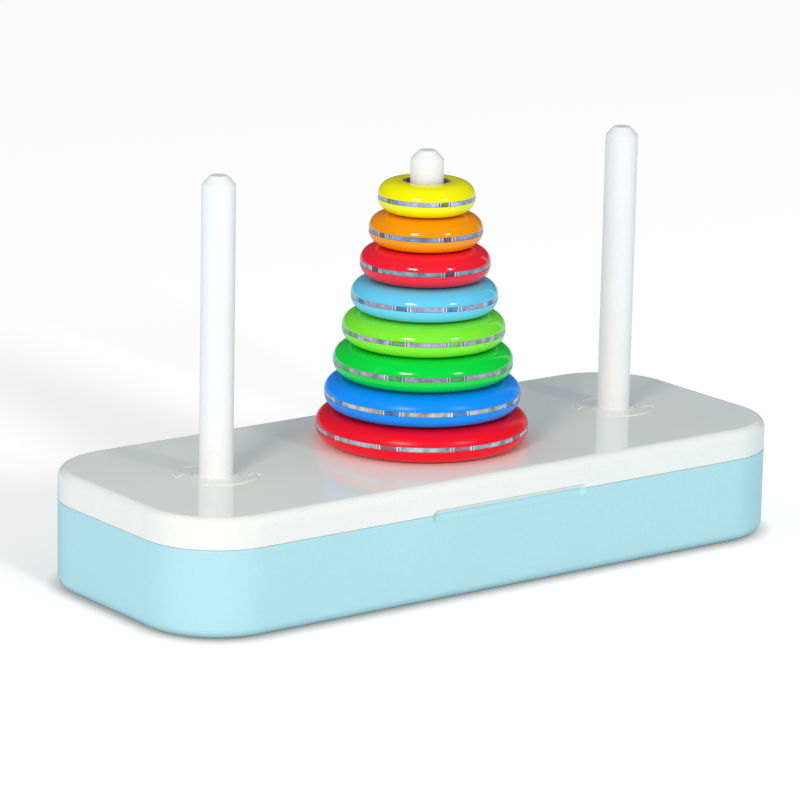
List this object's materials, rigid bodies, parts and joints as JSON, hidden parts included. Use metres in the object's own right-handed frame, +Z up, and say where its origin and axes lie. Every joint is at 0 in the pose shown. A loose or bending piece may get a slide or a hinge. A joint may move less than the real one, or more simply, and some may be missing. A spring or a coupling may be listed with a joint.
{
  "type": "tower of hanoi puzzle",
  "caption": "Tower of Hanoi puzzle: a pale storage box whose lift-off lid carries a row of white pegs, with coloured ring discs stacked by size on the middle peg.",
  "frame": {"origin": "centre of the storage box's underside, on the surface that it stands on", "axes": "+Z up along the pegs; +X along the row of pegs, to the right seen from the front; -Y is the front, with the finger recess"},
  "size_m": [0.225, 0.088, 0.1248],
  "materials": {
    "box_plastic": "smooth moulded plastic, pale cyan",
    "lid_plastic": "polished moulded plastic, off-white",
    "peg_plastic": "smooth moulded plastic, white",
    "clear_plastic": "clear moulded plastic",
    "yellow": "glossy moulded plastic",
    "orange": "glossy moulded plastic",
    "coral_red": "glossy moulded plastic",
    "sky_blue": "glossy moulded plastic",
    "lime_green": "glossy moulded plastic",
    "green": "glossy moulded plastic",
    "blue": "glossy moulded plastic",
    "red": "glossy moulded plastic"
  },
  "bodies": {
    "storage_box": {"storage_box": "box_plastic"},
    "lid": {"lid": "lid_plastic"},
    "peg_left": {"peg_left": "peg_plastic"},
    "peg_centre": {"peg_centre": "peg_plastic"},
    "peg_right": {"peg_right": "peg_plastic"},
    "disc_1": {"disc_1_upper_shell": "yellow", "disc_1_lower_shell": "yellow", "disc_1_clear_core": "clear_plastic"},
    "disc_2": {"disc_2_upper_shell": "orange", "disc_2_lower_shell": "orange", "disc_2_clear_core": "clear_plastic"},
    "disc_3": {"disc_3_upper_shell": "coral_red", "disc_3_lower_shell": "coral_red", "disc_3_clear_core": "clear_plastic"},
    "disc_4": {"disc_4_upper_shell": "sky_blue", "disc_4_lower_shell": "sky_blue", "disc_4_clear_core": "clear_plastic"},
    "disc_5": {"disc_5_upper_shell": "lime_green", "disc_5_lower_shell": "lime_green", "disc_5_clear_core": "clear_plastic"},
    "disc_6": {"disc_6_upper_shell": "green", "disc_6_lower_shell": "green", "disc_6_clear_core": "clear_plastic"},
    "disc_7": {"disc_7_upper_shell": "blue", "disc_7_lower_shell": "blue", "disc_7_clear_core": "clear_plastic"},
    "disc_8": {"disc_8_upper_shell": "red", "disc_8_lower_shell": "red", "disc_8_clear_core": "clear_plastic"}
  },
  "joints": [
    {"name": "lid_lift", "type": "slide", "parent": "storage_box", "child": "lid", "axis": [0, 0, 1], "range_m": [0, 0.06]},
    {"name": "peg_left_twist", "type": "hinge", "parent": "lid", "child": "peg_left", "pos_m": [-0.075, 0, 0.0358], "axis": [0, 0, 1], "range_deg": [0, 90]},
    {"name": "peg_centre_twist", "type": "hinge", "parent": "lid", "child": "peg_centre", "pos_m": [0, 0, 0.0358], "axis": [0, 0, 1], "range_deg": [0, 90]},
    {"name": "peg_right_twist", "type": "hinge", "parent": "lid", "child": "peg_right", "pos_m": [0.075, 0, 0.0358], "axis": [0, 0, 1], "range_deg": [0, 90]},
    {"name": "disc_8_lift", "type": "slide", "parent": "lid", "child": "disc_8", "axis": [0, 0, 1], "range_m": [0, 0.095]},
    {"name": "disc_7_lift", "type": "slide", "parent": "disc_8", "child": "disc_7", "axis": [0, 0, 1], "range_m": [0, 0.085]},
    {"name": "disc_6_lift", "type": "slide", "parent": "disc_7", "child": "disc_6", "axis": [0, 0, 1], "range_m": [0, 0.075]},
    {"name": "disc_5_lift", "type": "slide", "parent": "disc_6", "child": "disc_5", "axis": [0, 0, 1], "range_m": [0, 0.065]},
    {"name": "disc_4_lift", "type": "slide", "parent": "disc_5", "child": "disc_4", "axis": [0, 0, 1], "range_m": [0, 0.055]},
    {"name": "disc_3_lift", "type": "slide", "parent": "disc_4", "child": "disc_3", "axis": [0, 0, 1], "range_m": [0, 0.045]},
    {"name": "disc_2_lift", "type": "slide", "parent": "disc_3", "child": "disc_2", "axis": [0, 0, 1], "range_m": [0, 0.035]},
    {"name": "disc_1_lift", "type": "slide", "parent": "disc_2", "child": "disc_1", "axis": [0, 0, 1], "range_m": [0, 0.025]}
  ]
}
